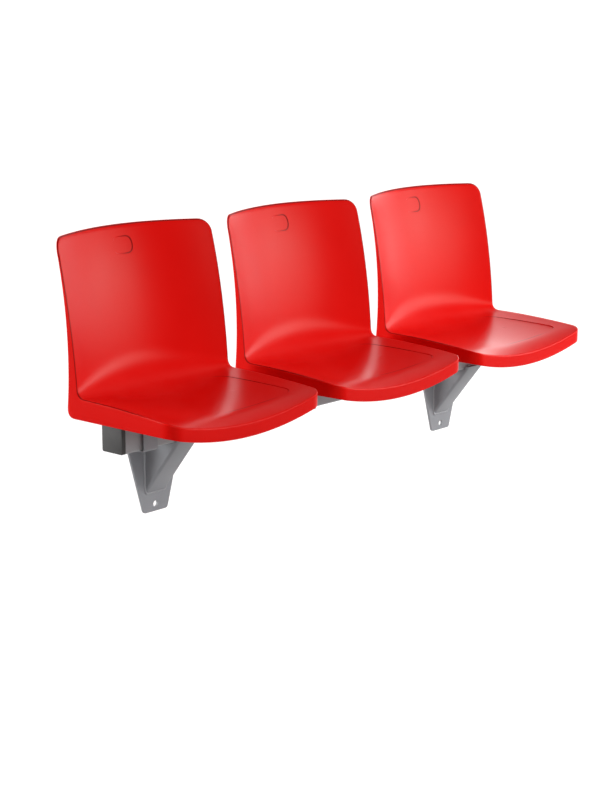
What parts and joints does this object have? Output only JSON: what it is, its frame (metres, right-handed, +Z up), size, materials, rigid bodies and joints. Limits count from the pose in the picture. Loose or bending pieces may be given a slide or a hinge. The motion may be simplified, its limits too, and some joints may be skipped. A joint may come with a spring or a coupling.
{
  "type": "row of fixed stadium seats",
  "caption": "Row of one-piece plastic bucket seats with turned-down skirts, clamped to a square steel beam that two tapered wall brackets with folded arms hold off a step riser.",
  "frame": {"origin": "middle of the left bracket plate's rear face, which bears on the step riser, 86 mm above the plate's bottom edge", "axes": "+X along the row to the sitter's left, which is the right in the picture; +Y to the back, out of the plate's rear face into the riser; +Z up; the sitter faces -Y"},
  "size_m": [1.448, 0.3848, 0.609],
  "materials": {
    "seat_plastic": "satin gloss moulded polypropylene, red",
    "beam_steel": "satin powder coat, mid grey",
    "bracket_steel": "satin powder coat, mid grey",
    "cap_plastic": "matt dark grey moulding",
    "fastener_steel": "bright zinc plate"
  },
  "bodies": {
    "root": {"bracket_plate_left": "bracket_steel", "bracket_arm_left": "bracket_steel", "bracket_plate_right": "bracket_steel", "bracket_arm_right": "bracket_steel", "beam_tube": "beam_steel", "beam_cap_left": "cap_plastic", "beam_cap_right": "cap_plastic", "seat_shell_1": "seat_plastic", "seat_clamp_1_left": "bracket_steel", "clamp_washer_1_left_front": "fastener_steel", "clamp_bolt_1_left_front": "fastener_steel", "clamp_washer_1_left_rear": "fastener_steel", "clamp_bolt_1_left_rear": "fastener_steel", "seat_clamp_1_right": "bracket_steel", "clamp_washer_1_right_front": "fastener_steel", "clamp_bolt_1_right_front": "fastener_steel", "clamp_washer_1_right_rear": "fastener_steel", "clamp_bolt_1_right_rear": "fastener_steel", "seat_shell_2": "seat_plastic", "seat_clamp_2_left": "bracket_steel", "clamp_washer_2_left_front": "fastener_steel", "clamp_bolt_2_left_front": "fastener_steel", "clamp_washer_2_left_rear": "fastener_steel", "clamp_bolt_2_left_rear": "fastener_steel", "seat_clamp_2_right": "bracket_steel", "clamp_washer_2_right_front": "fastener_steel", "clamp_bolt_2_right_front": "fastener_steel", "clamp_washer_2_right_rear": "fastener_steel", "clamp_bolt_2_right_rear": "fastener_steel", "seat_shell_3": "seat_plastic", "seat_clamp_3_left": "bracket_steel", "clamp_washer_3_left_front": "fastener_steel", "clamp_bolt_3_left_front": "fastener_steel", "clamp_washer_3_left_rear": "fastener_steel", "clamp_bolt_3_left_rear": "fastener_steel", "seat_clamp_3_right": "bracket_steel", "clamp_washer_3_right_front": "fastener_steel", "clamp_bolt_3_right_front": "fastener_steel", "clamp_washer_3_right_rear": "fastener_steel", "clamp_bolt_3_right_rear": "fastener_steel"}
  },
  "joints": []
}
